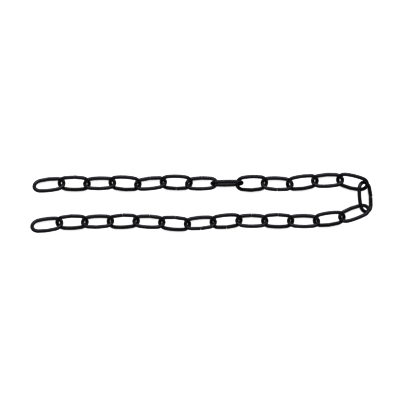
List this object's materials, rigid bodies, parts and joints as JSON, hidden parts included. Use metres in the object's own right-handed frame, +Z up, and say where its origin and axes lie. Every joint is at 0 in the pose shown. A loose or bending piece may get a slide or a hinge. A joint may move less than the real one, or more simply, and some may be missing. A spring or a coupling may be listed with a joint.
{
  "type": "length of open-link hanging chain",
  "caption": "Length of black-painted steel chain of open-jointed oval wire links, laid in a hairpin; hangs a light fixture, sign or planter from hooks or quick links.",
  "frame": {"origin": "on the floor plane, under the middle of the whole chain's box", "axes": "+X along the two runs, towards the bend; +Y across, towards the far run; +Z up"},
  "size_m": [0.4482, 0.0794, 0.0253],
  "materials": {
    "black_paint": "satin black enamel over round steel wire"
  },
  "bodies": {
    "root": {"link_01": "black_paint", "link_02": "black_paint", "link_03": "black_paint", "link_04": "black_paint", "link_05": "black_paint", "link_06": "black_paint", "link_07": "black_paint", "link_08": "black_paint", "link_09": "black_paint", "link_10": "black_paint", "link_11": "black_paint", "link_12": "black_paint", "link_13": "black_paint", "link_14": "black_paint", "link_15": "black_paint", "link_16": "black_paint", "link_17": "black_paint", "link_18": "black_paint", "link_19": "black_paint", "link_20": "black_paint", "link_21": "black_paint", "link_22": "black_paint", "link_23": "black_paint", "link_24": "black_paint", "link_25": "black_paint", "link_26": "black_paint", "link_27": "black_paint"}
  },
  "joints": []
}
